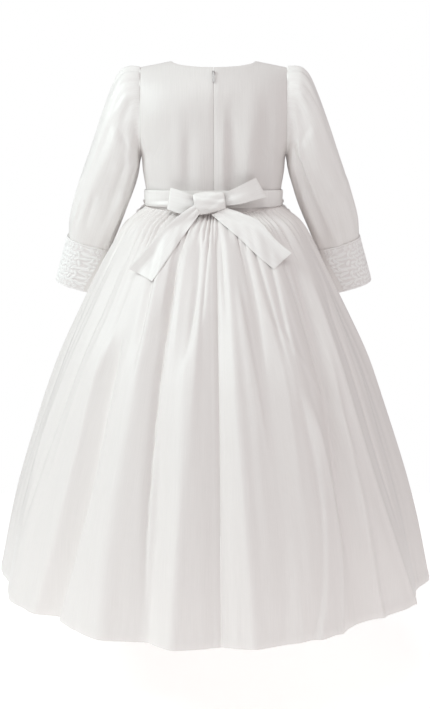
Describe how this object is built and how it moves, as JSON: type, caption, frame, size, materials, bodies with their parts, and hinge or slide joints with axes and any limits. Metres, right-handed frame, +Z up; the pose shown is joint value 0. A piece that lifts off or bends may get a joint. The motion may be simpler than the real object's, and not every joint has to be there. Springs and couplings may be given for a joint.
{
  "type": "girl's long-sleeved satin occasion dress",
  "caption": "Floor-length child's dress with fitted bodice, long set-in sleeves, lace cuffs, a gathered bell skirt and a sash tied in a bow at the back, worn shape, hollow.",
  "frame": {"origin": "middle of the shoulder line, level with the two neck points, where the wearer's shoulders hold the dress up", "axes": "+Z up; the back of the dress, with its zip and bow, faces -Y and the front faces +Y; +X is the wearer's right, and it is the right of the picture, which shows the back"},
  "size_m": [0.8757, 0.8336, 1.064],
  "materials": {
    "ivory_satin": "off-white heavy satin with a soft sheen",
    "white_lace": "matt white embroidered lace",
    "zip_tape_white": "plain woven tape",
    "zip_metal": "small grey metal zip parts"
  },
  "bodies": {
    "dress": {"bodice_front": "ivory_satin", "bodice_back_left": "ivory_satin", "bodice_back_right": "ivory_satin", "sleeve_left": "ivory_satin", "sleeve_right": "ivory_satin", "cuff_left": "ivory_satin", "cuff_right": "ivory_satin", "cuff_lace_left": "white_lace", "cuff_lace_right": "white_lace", "skirt_front": "ivory_satin", "skirt_back_left": "ivory_satin", "skirt_back_right": "ivory_satin", "sash": "ivory_satin", "bow_loop_left": "ivory_satin", "bow_loop_right": "ivory_satin", "bow_tail_left": "ivory_satin", "bow_tail_right": "ivory_satin", "bow_knot": "ivory_satin", "zip_tape": "zip_tape_white", "zip_slider": "zip_metal", "waist_flowers_left": "white_lace", "waist_flowers_right": "white_lace"},
    "zip_pull": {"zip_pull": "zip_metal"}
  },
  "joints": [
    {"name": "zip_pull_hinge", "type": "hinge", "parent": "dress", "child": "zip_pull", "pos_m": [0, -0.0703, -0.02388], "axis": [-1, 0, 0], "range_deg": [0, 165]}
  ]
}
